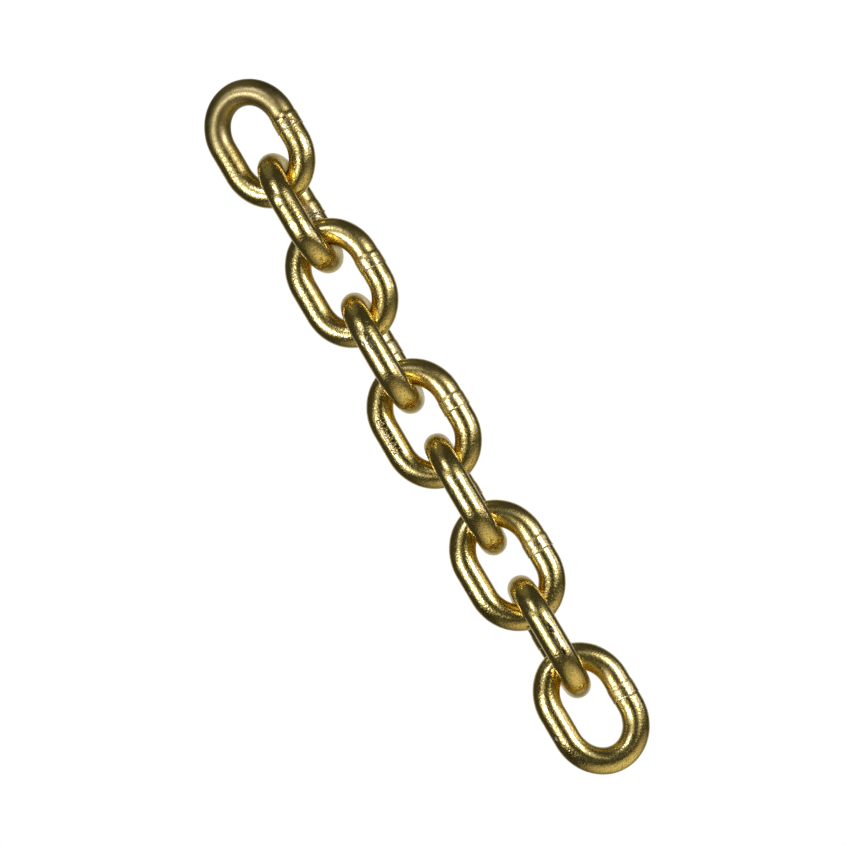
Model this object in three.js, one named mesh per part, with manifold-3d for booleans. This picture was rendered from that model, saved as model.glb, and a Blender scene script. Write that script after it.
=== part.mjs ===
// A length of short-link load binder chain, hanging straight down from its upper eye.
// Units are millimetres and +Z is up. The origin is the bearing point of the upper eye: the underside of
// the top link's crown, where a hook or a shackle pulls.
//
// Each link is one piece of round bar, bent to an oval in its own XZ plane and closed by a flash-butt weld
// in the straight side at local +X. Odd links face along Y and even links face along X, apart from a small
// twist that builds up evenly down the chain.

import * as THREE from "three";
import { mergeVertices } from "three/addons/utils/BufferGeometryUtils.js";
import Module from "manifold-3d";

// Driving dimensions
const LINK_COUNT = 9;
const BAR_DIAMETER = 8;
const INNER_LENGTH = 24.6;
const INNER_WIDTH = 13.2;
const CROWN_STRETCH = 1.12; // a crown is a half ellipse this much longer than a half circle
const RUNNING_GAP = 0.3; // between the bearing faces of two links
const TWIST_PER_LINK = THREE.MathUtils.degToRad(2.7); // beyond a right angle, about +Z
const MARKED_LINK = 5;

// The band of metal that the butt weld pushes out of the straight side
const WELD_LENGTH = 4.9;
const WELD_PROUD = 0.3;
const WELD_RAISED = 1; // from the middle of the side, towards the upper crown
const WELD_SHOULDER = 0.8; // length of the band's sloping upper edge
const WELD_EDGE = 0.25; // length of its crisp lower edge

// The pressed panel on the front of the marked link's other side
const PANEL_LENGTH = 11.8;
const PANEL_DEPTH = 0.25;
const PANEL_RAISED = 1.8;

// Fineness of the solids
const SECTION_SIDES = 16;
const CROWN_STEPS = 16;
const SIDE_STEPS = 3;
const WELD_SIDES = 24;
const MERGE_TOLERANCE = 1e-4;

// Derived sizes
const BAR_RADIUS = BAR_DIAMETER / 2;
const HALF_WIDTH = (INNER_WIDTH + BAR_DIAMETER) / 2; // to the middle of the bar
const HALF_LENGTH = (INNER_LENGTH + BAR_DIAMETER) / 2;
const CROWN_HEIGHT = HALF_WIDTH * CROWN_STRETCH;
const SIDE_HALF = HALF_LENGTH - CROWN_HEIGHT; // half of a straight side
const LINK_PITCH = INNER_LENGTH - RUNNING_GAP;

const PLATED_STEEL = { color: 0xb8923a, metalness: 1, roughness: 0.32 };
const PLATED_STEEL_MARKED = { color: 0xb08a36, metalness: 1, roughness: 0.36 };

const wasm = await Module();
wasm.setup();

// The middle line of a link's bar: up the side at +X, over the upper crown, down the other side and round
// the lower crown. Its parameter gives each stretch a share that matches its number of steps, so that the
// rings of the solid fall on the ends of the straight sides.
class LinkMiddleLine extends THREE.Curve {
  static STEPS = 2 * (SIDE_STEPS + CROWN_STEPS);

  getPoint(t, target = new THREE.Vector3()) {
    const half = LinkMiddleLine.STEPS / 2;
    const step = (((t % 1) + 1) % 1) * LinkMiddleLine.STEPS;
    const turned = step < half ? 1 : -1;
    const along = step < half ? step : step - half;
    if (along < SIDE_STEPS) {
      const z = -SIDE_HALF + (2 * SIDE_HALF * along) / SIDE_STEPS;
      return target.set(turned * HALF_WIDTH, 0, turned * z);
    }
    const angle = (Math.PI * (along - SIDE_STEPS)) / CROWN_STEPS;
    const x = HALF_WIDTH * Math.cos(angle);
    const z = SIDE_HALF + CROWN_HEIGHT * Math.sin(angle);
    return target.set(turned * x, 0, turned * z);
  }

  // The parameter is used as it is, with no correction to equal lengths.
  getUtoTmapping(u) {
    return u;
  }
}

// A closed three.js geometry as a solid
function solidOf(geometry) {
  const bare = geometry.clone();
  bare.deleteAttribute("normal");
  bare.deleteAttribute("uv");
  const merged = mergeVertices(bare, MERGE_TOLERANCE);
  return new wasm.Manifold(
    new wasm.Mesh({
      numProp: 3,
      vertProperties: merged.attributes.position.array,
      triVerts: new Uint32Array(merged.index.array),
    }),
  );
}

// A solid as a three.js geometry
function geometryOf(solid) {
  const mesh = solid.getMesh();
  const geometry = new THREE.BufferGeometry();
  geometry.setAttribute("position", new THREE.BufferAttribute(mesh.vertProperties, mesh.numProp));
  geometry.setIndex(new THREE.BufferAttribute(mesh.triVerts, 1));
  geometry.computeVertexNormals();
  return geometry;
}

function bentBar() {
  const steps = LinkMiddleLine.STEPS;
  return solidOf(new THREE.TubeGeometry(new LinkMiddleLine(), steps, BAR_RADIUS, SECTION_SIDES, true));
}

// The weld band is a collar round the side at +X. Its ends sink into the bar.
function weldBand() {
  const sunk = BAR_RADIUS * Math.cos(Math.PI / SECTION_SIDES) - 0.1;
  const proud = BAR_RADIUS + WELD_PROUD;
  const half = WELD_LENGTH / 2;
  const profile = [
    new THREE.Vector2(0, -half),
    new THREE.Vector2(sunk, -half),
    new THREE.Vector2(proud, -half + WELD_EDGE),
    new THREE.Vector2(proud, half - WELD_SHOULDER),
    new THREE.Vector2(sunk, half),
    new THREE.Vector2(0, half),
  ];
  const collar = new THREE.LatheGeometry(profile, WELD_SIDES);
  collar.rotateX(Math.PI / 2);
  collar.translate(HALF_WIDTH, 0, WELD_RAISED);
  return solidOf(collar);
}

// The block that presses a shallow flat panel into the front of the side at -X
function panelPress() {
  const block = new THREE.BoxGeometry(BAR_DIAMETER, BAR_RADIUS, PANEL_LENGTH);
  const floor = -BAR_RADIUS + PANEL_DEPTH;
  block.translate(-HALF_WIDTH, floor - BAR_RADIUS / 2, PANEL_RAISED);
  return solidOf(block);
}

function linkMesh(number, plainLink, markedLink) {
  const isEnd = number === 1 || number === LINK_COUNT;
  const isMarked = number === MARKED_LINK;
  const suffix = isEnd ? "_end" : isMarked ? "_marked" : "";
  const finish = isMarked ? PLATED_STEEL_MARKED : PLATED_STEEL;
  const mesh = new THREE.Mesh(isMarked ? markedLink : plainLink, new THREE.MeshStandardMaterial(finish));
  mesh.name = `link_${number}${suffix}`;

  const middle = (LINK_COUNT + 1) / 2;
  const squareTurn = number % 2 ? 0 : Math.PI / 2;
  mesh.rotation.z = squareTurn + TWIST_PER_LINK * (number - middle);
  mesh.position.z = -INNER_LENGTH / 2 - (number - 1) * LINK_PITCH;
  return mesh;
}

const welded = bentBar().add(weldBand());
const plainLink = geometryOf(welded);
const markedLink = geometryOf(welded.subtract(panelPress()));

const chain = new THREE.Group();
chain.name = "load_binder_chain";
for (let number = 1; number <= LINK_COUNT; number += 1) {
  chain.add(linkMesh(number, plainLink, markedLink));
}

export default chain;
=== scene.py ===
"""A length of short-link load binder chain in yellow plated steel, hanging from its upper eye.

Every link is one swept bar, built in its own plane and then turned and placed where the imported
model has it. Sizes are in metres.
"""

import math

import bpy
import numpy as np
from mathutils import Matrix, Vector, noise


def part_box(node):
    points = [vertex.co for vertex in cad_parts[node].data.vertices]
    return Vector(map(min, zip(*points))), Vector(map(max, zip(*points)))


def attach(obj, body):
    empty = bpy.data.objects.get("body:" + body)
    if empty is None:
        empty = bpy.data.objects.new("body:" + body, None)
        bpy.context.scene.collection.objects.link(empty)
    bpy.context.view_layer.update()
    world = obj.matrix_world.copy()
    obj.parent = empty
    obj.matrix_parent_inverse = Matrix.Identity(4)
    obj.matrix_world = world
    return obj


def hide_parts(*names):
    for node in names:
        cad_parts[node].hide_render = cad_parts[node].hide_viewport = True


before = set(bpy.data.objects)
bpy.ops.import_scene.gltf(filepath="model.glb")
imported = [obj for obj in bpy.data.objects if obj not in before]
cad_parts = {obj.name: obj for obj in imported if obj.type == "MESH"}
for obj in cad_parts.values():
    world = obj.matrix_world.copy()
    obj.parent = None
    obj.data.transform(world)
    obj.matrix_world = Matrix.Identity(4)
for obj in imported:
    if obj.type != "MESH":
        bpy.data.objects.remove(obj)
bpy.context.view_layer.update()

MM = 0.001

# The link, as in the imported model
BAR_RADIUS = 4 * MM
HALF_WIDTH = 10.6 * MM  # to the middle of the bar
HALF_LENGTH = 16.3 * MM
CROWN_HEIGHT = 1.12 * HALF_WIDTH  # a crown is half an ellipse, a little longer than half a circle
SIDE_HALF = HALF_LENGTH - CROWN_HEIGHT
TWIST_PER_LINK = math.radians(2.7)
MARKED_LINK = 5

# Fineness of the surface
STEP_ALONG = 0.24 * MM
STEPS_AROUND = 104
FINE_STEP = 0.07 * MM  # at the weld's lower edge, on the panel and on narrow marks

# The uneven surface of the rolled bar: size of the lumps, and their height
WAVES = (5.5 * MM, 0.035 * MM)
DENTS = (1.9 * MM, 0.016 * MM)
GRAIN = (0.75 * MM, 0.010 * MM)
EXTRA_GRAIN = 0.02 * MM  # on the weld band and where the bar is pitted

# The weld band: the metal that the butt weld pushed out of the side at +X
WELD_HALF = 2.45 * MM
WELD_RAISED = 1.0 * MM  # from the middle of the side, but the lowest link's is in the middle
WELD_PROUD = 0.17 * MM
WELD_EDGE = 0.10 * MM
WELD_SHOULDER = 1.3 * MM
WELD_BURR = 0.2 * MM
BURR_HALF = 0.15 * MM
WELD_WANDER = (0.10 * MM, 0.05 * MM)  # how far its ends stray, in two and in five waves round
WELD_FINE = (-0.35 * MM, 0.55 * MM)  # from its lower end: where the surface is made finer

# The pressed panel on the marked link, on the front of the side at -X
PANEL_LENGTH = 11.4 * MM
PANEL_WIDTH = 3.3 * MM
PANEL_RAISED = 1.8 * MM
PANEL_DEPTH = 0.25 * MM
TICK_PITCH = 1.02 * MM
TICK_WIDTH = 0.46 * MM
TICK_SLANT = 0.30
ROW_HALF = 1.25 * MM
PRESSED_EDGE = 0.25 * MM
PANEL_FINE = (0.5 * MM, 0.4 * MM)  # past its end and past its side: where the surface is made finer
# painted shade: how dark the recessed floor of the panel is painted
PANEL_RECESS_SHADE = 0.8

# Marks of handling: link, side (+1 has the weld), height above the link's middle in mm, degrees
# round from outward towards the front, half length and half width in mm, depth in mm, bare metal
# 0 to 1, pitting 0 to 1 and up to 2 where it is black right across
MARKS = (
    (1, -1, -4.5, 80, 0.14, 1.6, 0.03, 0.5, 0.0),
    (2, -1, 3.5, -12, 1.3, 0.9, 0.09, 0.0, 0.3),
    (2, -1, -4.5, -8, 1.1, 0.8, 0.08, 0.0, 0.3),
    (2, -1, -1.0, 20, 2.5, 0.6, 0.03, 0.0, 1.0),
    (2, 1, -1.5, 150, 2.0, 2.5, 0.03, 0.1, 1.0),
    (3, -1, -1.5, 88, 4.5, 0.7, 0.02, 0.0, 0.8),
    (4, -1, 2.6, 10, 3.6, 1.1, 0.05, 0.25, 1.0),
    (4, -1, 3.6, -24, 0.5, 0.5, 0.08, 0.6, 0.4),
    (5, -1, -7.4, 60, 3.0, 0.9, 0.02, 0.0, 1.0),
    (6, -1, 4.1, 22, 0.16, 2.2, 0.04, 1.0, 0.0),
    (6, -1, 3.5, 4, 0.6, 0.35, 0.06, 0.5, 0.3),
    (6, -1, 1.6, -40, 1.0, 0.4, 0.05, 0.6, 0.2),
    (7, -1, -1.7, 40, 0.6, 0.45, 0.12, 1.0, 0.2),
    (7, -1, -7.5, 55, 3.6, 1.3, 0.02, 0.0, 1.0),
    (8, -1, 1.5, 13, 2.0, 0.95, 0.04, 0.0, 2.0),
    (8, -1, -2.6, 8, 0.9, 0.8, 0.04, 0.4, 1.0),
    (8, -1, -6.0, 10, 1.2, 0.65, 0.03, 0.0, 2.0),
    (8, -1, 4.5, 30, 0.5, 0.5, 0.06, 0.5, 0.2),
    (9, -1, -2.6, 42, 0.7, 0.5, 0.14, 1.0, 0.2),
    (9, -1, -8.5, 55, 4.0, 1.3, 0.02, 0.0, 1.0),
)
# Painted shade with a duller finish: the top link and the weld sides of the links that face front are
# painted a darker bronze so they look less lit, and made rougher. Middle along the bar from half way
# up the weld side and half length, in mm, and amount
DULLNESS_AND_PAINTED_SHADE = {
    1: (22, 20, 1.08),
    3: (9, 18, 0.1),
    5: (10, 22, 0.1),
    7: (10, 22, 0.1),
    9: (8, 20, 0.1),
}
DULL_AND_SHADE_EDGE = 7 * MM
NARROW_MARK = 0.3  # half length in mm below which the surface is made finer there
NARROW_REACH = 1.6  # half lengths

# Satin plating, 0 to 1
SATIN_TOP_LINK = 0.8
SATIN_WELD_SIDE = 0.5
SATIN_CROWN = 0.4
SATIN_INSIDE = 0.9

# Reflectance of the plating and of what shows through it
GOLD = (0.82, 0.61, 0.145)
GOLD_CLOUD = (0.76, 0.60, 0.145)
GOLD_BLOTCH = (0.66, 0.55, 0.15)
GOLD_WELD = (0.90, 0.71, 0.26)
DARK_SPECK = (0.13, 0.105, 0.026)
DARK_PIT = (0.16, 0.13, 0.035)
# painted shade: the darker bronze laid over the gold where the top link and the weld sides should
# look less lit
PAINTED_SHADE_BRONZE = (0.34, 0.26, 0.06)
# near black of the deepest pits, also painted as shade on the panel's recessed floor
BLACK_PITS_AND_RECESS_SHADE = (0.015, 0.011, 0.004)
# bare metal where marks are worn through, and the pale painted highlight line along the weld's lower
# lip
BARE_STEEL_AND_LIP_HIGHLIGHT = (0.80, 0.75, 0.45)
GRAIN_RELIEF = 0.055 * MM
CLEAR_FILM = 0.12
CLEAR_FILM_ROUGHNESS = 0.12

# The camera: degrees round the chain, above it and tipped, distance in metres, lens and sensor in
# millimetres
CAMERA_AZIMUTH = 4.99
CAMERA_ELEVATION = -5.73
CAMERA_ROLL = 30.41
CAMERA_DISTANCE = 1.145
CAMERA_LENS = 165.1
CAMERA_SENSOR = 36
CAMERA_CLIP = (0.05, 20)
AIM_RIGHT = -0.24 * MM
AIM_UP = 0.5 * MM

# Softboxes: degrees to the right of the camera and above it, angles across and up, and radiance
SOFTBOXES = (
    ("left", -41, 9, 36, 20, 8.2),
    ("upper", -15, 41, 28, 20, 5.0),
    ("right", 49, 4, 32, 24, 8.8),
    ("side", 85, -4, 26, 26, 1.4),
)
# A softbox is brightest in its middle and lights the wall round it: distance in metres, part of the
# size, part of the radiance, colour. No two lights lie in one plane.
LAYERS = (
    ("glow", 1.34, 1.75, 0.05, (1.0, 1.0, 1.0)),
    ("cloth", 1.32, 1.0, 0.19, (0.96, 1.0, 2.0)),
    ("lamp", 1.30, 0.58, 0.75, (0.93, 1.0, 2.3)),
)

# The room's brightness, and how far it rises behind the chain, below it and above it: cosine of the
# angle where the rise begins, cosine where it is full, amount
ROOM = 0.05
ROOM_BEHIND = (0.60, 0.95, 0.55)
ROOM_BELOW = (0.45, 0.80, 0.40)
ROOM_ABOVE = (0.80, 0.97, 0.12)
ROOM_COLOUR = (1.0, 0.97, 0.9)

# The floor and the light that faces it, in metres
FLOOR_DROP = 1.1
FLOOR_RADIUS = 1.5
FLOOR_SIDES = 96
FLOOR_COLOUR = (0.88, 0.80, 0.58)
FLOOR_ROUGHNESS = 0.7
WASH_DROP = 0.6
WASH_WIDTH = 1.2
WASH_RADIANCE = 0.8

LINK_NAMES = sorted(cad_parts, key=lambda name: int(name.split("_")[1]))


def smooth(low, high, value):
    """0 below low, 1 above high, and a smooth step between."""
    t = np.clip((value - low) / (high - low), 0.0, 1.0)
    return t * t * (3 - 2 * t)


def bump(value, centre, half, edge):
    """1 within half of centre, falling to 0 over edge."""
    return 1 - smooth(half - edge, half, np.abs(value - centre))


def noise_field(points, size, seed):
    """Smooth noise from about -1 to 1 at each point, with lumps of the given size."""
    shift = Vector((17.3 * seed, -9.1 * seed, 4.7 * seed))
    return np.array([noise.noise(Vector(p) / size + shift) for p in points])


# ---------------------------------------------------------------- the bar's middle line


class MiddleLine:
    """The middle of a link's bar, by distance along it. It starts half way up the side at +X and
    runs up, over the upper crown, down the side at -X and round the lower crown."""

    def __init__(self, samples=720):
        angle = np.linspace(0, math.pi, samples)
        x = HALF_WIDTH * np.cos(angle)
        z = CROWN_HEIGHT * np.sin(angle)
        run = np.concatenate([[0], np.cumsum(np.hypot(np.diff(x), np.diff(z)))])
        self.angle = angle
        self.run = run
        self.crown = run[-1]
        self.length = 2 * (2 * SIDE_HALF + self.crown)

    def at(self, along):
        """Position (x, z) and outward normal (x, z) at distances along the line."""
        half = self.length / 2
        along = np.mod(along, self.length)
        second = along >= half
        along = np.where(second, along - half, along)
        on_crown = (along > SIDE_HALF) & (along < SIDE_HALF + self.crown)
        angle = np.interp(along - SIDE_HALF, self.run, self.angle)
        low = along <= SIDE_HALF
        x = np.where(on_crown, HALF_WIDTH * np.cos(angle), np.where(low, HALF_WIDTH, -HALF_WIDTH))
        z_side = np.where(low, along, half - along)
        z = np.where(on_crown, SIDE_HALF + CROWN_HEIGHT * np.sin(angle), z_side)
        tangent_x = np.where(on_crown, -HALF_WIDTH * np.sin(angle), 0.0)
        tangent_z = np.where(on_crown, CROWN_HEIGHT * np.cos(angle), np.where(low, 1.0, -1.0))
        size = np.hypot(tangent_x, tangent_z)
        sign = np.where(second, -1.0, 1.0)
        normal_x, normal_z = tangent_z / size, -tangent_x / size
        return sign * x, sign * z, sign * normal_x, sign * normal_z


LINE = MiddleLine()


def refined(start, end, step, fine_step, spans):
    """Values from start up to end, step apart, or fine_step apart within the spans."""
    values = [start]
    while values[-1] < end:
        here = values[-1]
        fine = any(low <= here <= high for low, high in spans)
        values.append(here + (fine_step if fine else step))
    return np.array(values[:-1])


# ---------------------------------------------------------------- relief


def weld_middle(number):
    """Height of the weld above the link's middle."""
    return 0.0 if number == len(LINK_NAMES) else WELD_RAISED


def weld_relief(along, around, number):
    """Height and cover of the weld band, and its lower lip, where a pale line is painted on as a
    highlight.
    """
    middle = weld_middle(number)
    slow, quick = WELD_WANDER
    wander = slow * np.sin(2 * around + number) + quick * np.sin(5 * around + 2 * number)
    low = middle - WELD_HALF + wander
    high = middle + WELD_HALF + 0.8 * wander
    cover = smooth(low, low + WELD_EDGE, along) * (1 - smooth(high - WELD_SHOULDER, high, along))
    # the burr along the weld's lower edge; the same mask paints a pale highlight line on it
    lip = np.exp(-(((along - low - WELD_EDGE) / BURR_HALF) ** 2))
    ragged = 0.45 + 0.55 * np.sin(3 * around + 1.7 * number) * np.sin(7 * around - number)
    return WELD_PROUD * cover + WELD_BURR * lip * ragged, cover, lip * (0.3 + 0.7 * ragged)


def tick_pattern(along, across):
    """Height, 0 to 1, of the plain slanting ticks pressed across the marked link."""
    cell = np.floor(along / TICK_PITCH)
    within = along - (cell + 0.5) * TICK_PITCH
    kind = np.mod(cell * cell + 2 * cell, 5)
    slant = TICK_SLANT * np.where(kind >= 3, -1, 1)
    tick = bump(within - slant * across, 0, TICK_WIDTH / 2 + 0.05 * MM, 0.12 * MM)
    reach = np.where(kind == 0, 0.6, 1.0) * ROW_HALF
    bar = bump(across, 0, 0.2 * MM, 0.12 * MM) * (kind == 3)
    return np.maximum(tick * bump(across, 0, reach, 0.15 * MM), bar)


def panel_relief(along, around):
    """Height of the pressed panel, and its recessed floor between the ticks, which is painted near
    black as shade.
    """
    raised = LINE.length / 2 - along  # above the middle of the other side
    across = (around - math.pi / 2) * BAR_RADIUS
    cover = bump(raised, PANEL_RAISED, PANEL_LENGTH / 2, PRESSED_EDGE)
    cover = cover * bump(across, 0, PANEL_WIDTH / 2, PRESSED_EDGE)
    ticks = tick_pattern(raised, across)
    return cover * PANEL_DEPTH * (1.1 * ticks - 1), cover * (1 - ticks)


def mark_place(side, height):
    """Distance along the bar of a point on one side, height above the link's middle."""
    return height if side > 0 else LINE.length / 2 - height


def mark_relief(along, around, number, dents):
    """Height, bare metal and pitting of the marks on this link."""
    height, bare_metal_and_lip_highlight, pitted = np.zeros(along.shape), np.zeros(along.shape), np.zeros(along.shape)
    for link, side, raised, turn, half_length, half_width, depth, wear, pits in MARKS:
        if link != number:
            continue
        centre = mark_place(side, raised * MM)
        ahead = np.mod(along - centre + LINE.length / 2, LINE.length) - LINE.length / 2
        across = np.mod(around - math.radians(turn) + math.pi, 2 * math.pi) - math.pi
        distance = np.hypot(ahead / (half_length * MM), across * BAR_RADIUS / (half_width * MM))
        shape = 1 - smooth(0.55, 1.35, distance * (1 + 0.35 * dents))
        height -= depth * MM * shape
        bare_metal_and_lip_highlight = np.maximum(bare_metal_and_lip_highlight, wear * shape)
        pitted = np.maximum(pitted, pits * shape)
    return height, bare_metal_and_lip_highlight, pitted


def satin_cover(along, around, number):
    """How far the surface is satin and not burnished. The top link is satin over its upper crown,
    the other links that face front from the weld up to the top, and the links between over both
    crowns. The inside of the bends is satin on all of them."""
    inner = smooth(0.2, 0.95, -np.cos(around))
    upper_crown, lower_crown = LINE.length / 4, 3 * LINE.length / 4
    if number == 1:
        satin = SATIN_TOP_LINK * bump(along, upper_crown, LINE.crown / 2 + 3 * MM, 5 * MM)
    elif number % 2:
        satin = SATIN_WELD_SIDE * bump(along, 11 * MM, 13 * MM, 6 * MM)
    else:
        crowns = sum(bump(along, crown, 8 * MM, 7 * MM) for crown in (upper_crown, lower_crown))
        satin = SATIN_CROWN * crowns
    return np.clip(satin + SATIN_INSIDE * inner, 0, 1)


def dull_and_shade_cover(along, around, number):
    """How far the bar is painted darker as shade, and made duller: from the weld side up to the top
    of the links that face front, all round the top link's bar and on the outer front of the others."""
    if number not in DULLNESS_AND_PAINTED_SHADE:
        return np.zeros(along.shape)
    centre, half, amount = DULLNESS_AND_PAINTED_SHADE[number]
    outer = smooth(-0.75, 0.1, np.cos(around - math.radians(35))) if number > 1 else 1
    return amount * outer * bump(along, centre * MM, half * MM, DULL_AND_SHADE_EDGE)


# ---------------------------------------------------------------- a link


def link_grid(number):
    """Distances along the bar and angles round it. Angle 0 is outward, a quarter turn the front."""
    weld_low = weld_middle(number) - WELD_HALF
    spans = [(weld_low + WELD_FINE[0], weld_low + WELD_FINE[1])]
    for link, side, raised, _, half_length, *_ in MARKS:
        if link == number and half_length < NARROW_MARK:
            centre, reach = mark_place(side, raised * MM), NARROW_REACH * half_length * MM
            spans.append((centre - reach, centre + reach))
    step_around = 2 * math.pi / STEPS_AROUND
    around_spans = []
    if number == MARKED_LINK:
        middle = LINE.length / 2 - PANEL_RAISED
        half = PANEL_LENGTH / 2 + PANEL_FINE[0]
        spans.append((middle - half, middle + half))
        reach = (PANEL_WIDTH / 2 + PANEL_FINE[1]) / BAR_RADIUS
        around_spans = [(math.pi / 2 - reach, math.pi / 2 + reach)]
    start = -LINE.length / 4
    along = refined(start, start + LINE.length, STEP_ALONG, FINE_STEP, spans)
    around = refined(0.0, 2 * math.pi, step_around, FINE_STEP / BAR_RADIUS, around_spans)
    # share the small remainder at the closing seam
    along = start + (along - start) * LINE.length / (along[-1] - start + STEP_ALONG)
    around = around * 2 * math.pi / (around[-1] + step_around)
    return along, around


def link_mesh(number, name):
    """One link in its own plane, with a layer of values for each cover of its surface."""
    along, around = link_grid(number)
    x, z, normal_x, normal_z = LINE.at(along)
    rows, columns = len(along), len(around)
    s, a = np.meshgrid(along, around, indexing="ij")

    def surface(radius):
        out = radius * np.cos(a)
        return np.stack(
            [
                x[:, None] + out * normal_x[:, None],
                -radius * np.sin(a),
                z[:, None] + out * normal_z[:, None],
            ],
            axis=-1,
        ).reshape(-1, 3)

    flat = surface(np.full(s.shape, BAR_RADIUS))
    waves = noise_field(flat, WAVES[0], number).reshape(s.shape)
    dents = noise_field(flat, DENTS[0], number + 20).reshape(s.shape)
    grain = noise_field(flat, GRAIN[0], number + 40).reshape(s.shape)
    weld_height, weld, lip = weld_relief(s, a, number)
    height = WAVES[1] * waves + DENTS[1] * dents + GRAIN[1] * grain
    height = height + weld_height * (1 + 0.25 * dents) + EXTRA_GRAIN * weld * grain
    mark_height, bare_metal_and_lip_highlight, pitted = mark_relief(s, a, number, dents)
    height = height + mark_height + EXTRA_GRAIN * pitted * grain
    black_pits_and_recess_shade = np.clip(pitted - 1, 0, 1)
    # the marked link's recessed panel floor is painted near black as shade
    if number == MARKED_LINK:
        panel_height, panel_recess_shade = panel_relief(s, a)
        height = height + panel_height
        black_pits_and_recess_shade = np.maximum(black_pits_and_recess_shade, PANEL_RECESS_SHADE * panel_recess_shade)
    layers = {
        "weld": weld,
        # bare metal in worn marks, and the painted highlight along the weld's lower lip
        "bare_metal_and_lip_highlight": np.maximum(bare_metal_and_lip_highlight, 0.8 * lip),
        "pitted": np.clip(pitted, 0, 1),
        "black_pits_and_recess_shade": black_pits_and_recess_shade,
        "satin": satin_cover(s, a, number),
        "dull_and_painted_shade": dull_and_shade_cover(s, a, number),
    }
    points = surface(BAR_RADIUS + height)

    row = np.arange(rows)[:, None]
    column = np.arange(columns)[None, :]
    next_row, next_column = (row + 1) % rows, (column + 1) % columns
    corners = [
        row * columns + column,
        row * columns + next_column,
        next_row * columns + next_column,
        next_row * columns + column,
    ]
    faces = np.stack(corners, axis=-1).reshape(-1, 4)

    mesh = bpy.data.meshes.new(name)
    mesh.from_pydata(points.tolist(), [], faces.tolist())
    for key, values in layers.items():
        layer = mesh.attributes.new(key, "FLOAT", "POINT")
        layer.data.foreach_set("value", values.ravel().astype(np.float32))
    mesh.shade_smooth()
    mesh.update()
    return mesh


def add_link(number, node, material):
    """A link at its packed place. It rides on its own body and replaces that body's plain solid."""
    mesh = link_mesh(number, f"link_{number}_bar")
    low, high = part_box(node)
    middle = (len(LINK_NAMES) + 1) / 2
    turn = (0 if number % 2 else math.pi / 2) + TWIST_PER_LINK * (number - middle)
    place = Matrix.Translation((0, 0, (low.z + high.z) / 2)) @ Matrix.Rotation(turn, 4, "Z")
    mesh.transform(place)
    mesh.materials.append(material)
    link = bpy.data.objects.new(f"link_{number}_bar", mesh)
    bpy.context.scene.collection.objects.link(link)
    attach(link, node)
    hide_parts(node)


# ---------------------------------------------------------------- materials


class Nodes:
    """Short calls for building a node tree."""

    def __init__(self, tree):
        self.tree = tree
        tree.nodes.clear()

    def add(self, kind, **settings):
        node = self.tree.nodes.new(kind)
        for key, value in settings.items():
            setattr(node, key, value)
        return node

    def wire(self, source, target):
        self.tree.links.new(source, target)

    def noise(self, vector, size, detail=3.0, rough=0.5):
        node = self.add("ShaderNodeTexNoise")
        node.inputs["Scale"].default_value = 1 / size
        node.inputs["Detail"].default_value = detail
        node.inputs["Roughness"].default_value = rough
        self.wire(vector, node.inputs["Vector"])
        return node.outputs["Fac"]

    def math(self, operation, a, b=0.0):
        node = self.add("ShaderNodeMath", operation=operation)
        for socket, value in zip(node.inputs, (a, b)):
            if isinstance(value, (int, float)):
                socket.default_value = value
            else:
                self.wire(value, socket)
        return node.outputs[0]

    def plus(self, a, b):
        return self.math("ADD", a, b)

    def times(self, a, b):
        return self.math("MULTIPLY", a, b)

    def remap(self, value, low, high, to_low=0.0, to_high=1.0):
        node = self.add("ShaderNodeMapRange", interpolation_type="SMOOTHSTEP")
        for socket, number in zip(list(node.inputs)[1:5], (low, high, to_low, to_high)):
            socket.default_value = number
        self.wire(value, node.inputs[0])
        return node.outputs[0]

    def mix(self, factor, a, b):
        node = self.add("ShaderNodeMix", data_type="RGBA")
        self.wire(factor, node.inputs["Factor"])
        for socket, value in ((node.inputs[6], a), (node.inputs[7], b)):
            if isinstance(value, tuple):
                socket.default_value = (*value, 1.0)
            else:
                self.wire(value, socket)
        return node.outputs[2]

    def attribute(self, name):
        return self.add("ShaderNodeAttribute", attribute_name=name).outputs["Fac"]


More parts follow.
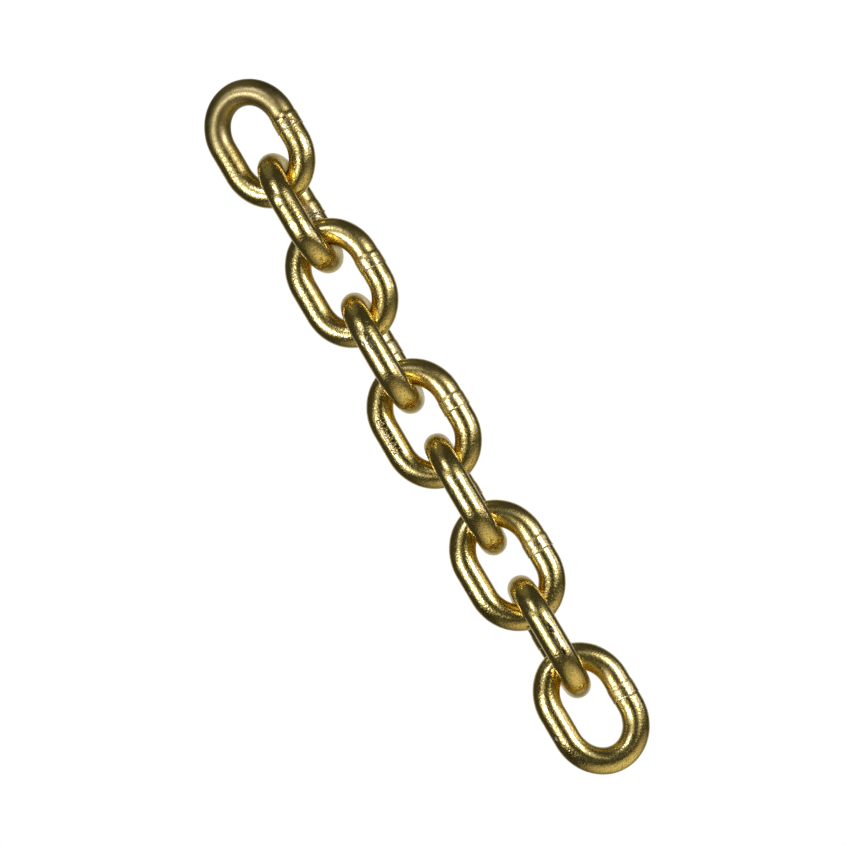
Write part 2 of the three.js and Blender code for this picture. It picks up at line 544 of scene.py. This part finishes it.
def plated_steel():
    """Yellow zinc plating over bar with a fine rolled grain."""
    material = bpy.data.materials.new("plated_steel")
    material.use_nodes = True
    n = Nodes(material.node_tree)
    place = n.add("ShaderNodeTexCoord").outputs["Object"]
    weld, bare_metal_and_lip_highlight, pitted, black_pits_and_recess_shade, satin, dull_and_painted_shade = (
        n.attribute(name) for name in ("weld", "bare_metal_and_lip_highlight", "pitted", "black_pits_and_recess_shade", "satin", "dull_and_painted_shade")
    )

    clouds = n.noise(place, 7 * MM, 3)
    blotches = n.noise(place, 2.2 * MM, 4, 0.6)
    specks = n.noise(place, 0.42 * MM, 1, 0.5)
    coarse = n.noise(place, 0.55 * MM, 0)
    covered = n.math("MAXIMUM", satin, n.math("MAXIMUM", black_pits_and_recess_shade, n.times(weld, 0.6)))
    glossy = n.math("SUBTRACT", 1.0, covered)

    gold = n.mix(n.remap(clouds, 0.35, 0.65), GOLD, GOLD_CLOUD)
    gold = n.mix(n.remap(blotches, 0.52, 0.72, 0, 0.55), gold, GOLD_BLOTCH)
    gold = n.mix(n.times(n.remap(specks, 0.56, 0.68, 0, 0.75), glossy), gold, DARK_SPECK)
    gold = n.mix(n.times(weld, n.remap(coarse, 0.40, 0.60, 0, 0.5)), gold, GOLD_WELD)
    gold = n.mix(n.times(pitted, n.remap(specks, 0.46, 0.58)), gold, DARK_PIT)
    # painted shade: darker bronze where the top link and the weld sides should look less lit
    gold = n.mix(n.times(dull_and_painted_shade, 0.8), gold, PAINTED_SHADE_BRONZE)
    # near black in the deepest pits, and painted shade on the panel's recessed floor
    gold = n.mix(n.times(black_pits_and_recess_shade, 0.97), gold, BLACK_PITS_AND_RECESS_SHADE)
    # bare metal in worn marks, and a painted highlight line along the weld's lower lip
    gold = n.mix(n.times(bare_metal_and_lip_highlight, n.remap(specks, 0.62, 0.46)), gold, BARE_STEEL_AND_LIP_HIGHLIGHT)

    rough = n.remap(blotches, 0.3, 0.7, 0.09, 0.15)
    rough = n.plus(rough, n.times(glossy, n.remap(specks, 0.42, 0.64, 0.0, 0.17)))
    rough = n.plus(rough, n.times(satin, 0.17))
    rough = n.plus(rough, n.times(weld, 0.06))
    rough = n.plus(rough, n.times(n.plus(dull_and_painted_shade, black_pits_and_recess_shade), 0.08))
    rough = n.plus(rough, n.times(bare_metal_and_lip_highlight, 0.25))

    # the grain is coarser in some stretches of the bar than in others, and on the burnished sides
    stretch = n.remap(n.noise(place, 9 * MM, 2), 0.38, 0.62, 0.55, 1.0)
    stretch = n.times(stretch, n.remap(glossy, 0.0, 1.0, 0.3, 1.0))
    stretch = n.plus(stretch, n.plus(n.times(pitted, 0.7), n.times(weld, 0.5)))
    relief = n.times(n.math("SUBTRACT", coarse, 0.5), stretch)
    bumps = n.add("ShaderNodeBump")
    bumps.inputs["Strength"].default_value = 1.0
    bumps.inputs["Distance"].default_value = GRAIN_RELIEF
    n.wire(relief, bumps.inputs["Height"])

    shader = n.add("ShaderNodeBsdfPrincipled")
    shader.inputs["Metallic"].default_value = 1.0
    shader.inputs["Coat Weight"].default_value = CLEAR_FILM
    shader.inputs["Coat Roughness"].default_value = CLEAR_FILM_ROUGHNESS
    n.wire(gold, shader.inputs["Base Color"])
    n.wire(rough, shader.inputs["Roughness"])
    n.wire(bumps.outputs[0], shader.inputs["Normal"])
    output = n.add("ShaderNodeOutputMaterial")
    n.wire(shader.outputs[0], output.inputs[0])
    return material


# ---------------------------------------------------------------- stage, light and camera


def view_axes():
    """Right, up and back of the upright camera."""
    azimuth, elevation = math.radians(CAMERA_AZIMUTH), math.radians(CAMERA_ELEVATION)
    back = Vector(
        (
            math.sin(azimuth) * math.cos(elevation),
            -math.cos(azimuth) * math.cos(elevation),
            math.sin(elevation),
        )
    )
    right = Vector((math.cos(azimuth), math.sin(azimuth), 0))
    return right, back.cross(right), back


RIGHT, UP, BACK = view_axes()
MIDDLE = Vector((0, 0, sum(v.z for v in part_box(LINK_NAMES[len(LINK_NAMES) // 2])) / 2))


def direction(azimuth, elevation):
    """A unit vector, azimuth to the right of the camera's side and elevation above it."""
    a, e = math.radians(azimuth), math.radians(elevation)
    level = RIGHT * (math.sin(a) * math.cos(e)) + BACK * (math.cos(a) * math.cos(e))
    return level + UP * math.sin(e)


def add_softbox(name, distance, azimuth, elevation, wide, tall, radiance, colour):
    """An area light aimed at the chain. wide and tall are angles in degrees."""
    light = bpy.data.lights.new(name, "AREA")
    light.color = colour
    light.shape = "RECTANGLE"
    light.size = 2 * distance * math.tan(math.radians(wide / 2))
    light.size_y = 2 * distance * math.tan(math.radians(tall / 2))
    light.energy = radiance * math.pi * light.size * light.size_y
    softbox = bpy.data.objects.new(name, light)
    away = direction(azimuth, elevation)
    softbox.location = MIDDLE + away * distance
    softbox.rotation_mode = "QUATERNION"
    softbox.rotation_quaternion = away.to_track_quat("Z", "Y")
    softbox.visible_camera = False
    bpy.context.scene.collection.objects.link(softbox)


def add_world():
    """A dim room round a white backdrop. What the camera sees behind the chain is white."""
    world = bpy.data.worlds.new("studio")
    world.use_nodes = True
    bpy.context.scene.world = world
    n = Nodes(world.node_tree)
    look = n.add("ShaderNodeTexCoord").outputs["Generated"]

    def facing(vector, begins, full, amount):
        dot = n.add("ShaderNodeVectorMath", operation="DOT_PRODUCT")
        n.wire(look, dot.inputs[0])
        dot.inputs[1].default_value = vector
        return n.remap(dot.outputs["Value"], begins, full, 0.0, amount)

    behind = facing(-BACK, *ROOM_BEHIND)
    below = facing((0, 0, -1), *ROOM_BELOW)
    above = facing((0, 0, 1), *ROOM_ABOVE)
    room = n.plus(n.plus(behind, n.plus(above, below)), ROOM)
    dim = n.add("ShaderNodeBackground")
    dim.inputs["Color"].default_value = (*ROOM_COLOUR, 1)
    n.wire(room, dim.inputs["Strength"])
    white = n.add("ShaderNodeBackground")
    white.inputs["Color"].default_value = (1, 1, 1, 1)
    choose = n.add("ShaderNodeMixShader")
    n.wire(n.add("ShaderNodeLightPath").outputs["Is Camera Ray"], choose.inputs[0])
    n.wire(dim.outputs[0], choose.inputs[1])
    n.wire(white.outputs[0], choose.inputs[2])
    output = n.add("ShaderNodeOutputWorld")
    n.wire(choose.outputs[0], output.inputs[0])


def add_floor():
    """A round pale floor, well below the hanging chain."""
    mesh = bpy.data.meshes.new("floor")
    angles = [2 * math.pi * k / FLOOR_SIDES for k in range(FLOOR_SIDES)]
    rim = [(FLOOR_RADIUS * math.cos(a), FLOOR_RADIUS * math.sin(a), 0) for a in angles]
    mesh.from_pydata(rim, [], [list(range(FLOOR_SIDES))])
    material = bpy.data.materials.new("floor")
    material.use_nodes = True
    shader = material.node_tree.nodes["Principled BSDF"]
    shader.inputs["Base Color"].default_value = (*FLOOR_COLOUR, 1)
    shader.inputs["Roughness"].default_value = FLOOR_ROUGHNESS
    mesh.materials.append(material)
    floor = bpy.data.objects.new("floor", mesh)
    floor.location = MIDDLE - Vector((0, 0, FLOOR_DROP))
    bpy.context.scene.collection.objects.link(floor)


def add_floor_wash():
    """A light over the floor that faces down, so the chain sees it only as a brighter floor."""
    light = bpy.data.lights.new("floor_wash", "AREA")
    light.size = WASH_WIDTH
    light.energy = WASH_RADIANCE * math.pi * light.size**2
    wash = bpy.data.objects.new("floor_wash", light)
    wash.location = MIDDLE - Vector((0, 0, WASH_DROP))
    wash.visible_camera = False
    bpy.context.scene.collection.objects.link(wash)


def add_camera():
    """A long lens, rolled so that the hanging chain crosses the picture aslant."""
    data = bpy.data.cameras.new("camera")
    data.lens = CAMERA_LENS
    data.sensor_width = CAMERA_SENSOR
    data.clip_start, data.clip_end = CAMERA_CLIP
    camera = bpy.data.objects.new("camera", data)
    roll = math.radians(CAMERA_ROLL)
    up = UP * math.cos(roll) + RIGHT * math.sin(roll)
    right = RIGHT * math.cos(roll) - UP * math.sin(roll)
    aim = MIDDLE + RIGHT * AIM_RIGHT + UP * AIM_UP
    place = Matrix((right, up, BACK)).transposed().to_4x4()
    place.translation = aim + BACK * CAMERA_DISTANCE
    camera.matrix_world = place
    bpy.context.scene.collection.objects.link(camera)
    bpy.context.scene.camera = camera


# ---------------------------------------------------------------- the scene

bpy.context.scene.view_settings.view_transform = "Standard"
add_camera()
add_world()
add_floor()
add_floor_wash()
for name, azimuth, elevation, wide, tall, radiance in SOFTBOXES:
    for layer, distance, size, share, colour in LAYERS:
        angles = (azimuth, elevation, size * wide, size * tall)
        add_softbox(f"{name}_{layer}", distance, *angles, share * radiance, colour)

steel = plated_steel()
for number, node in enumerate(LINK_NAMES, start=1):
    add_link(number, node, steel)
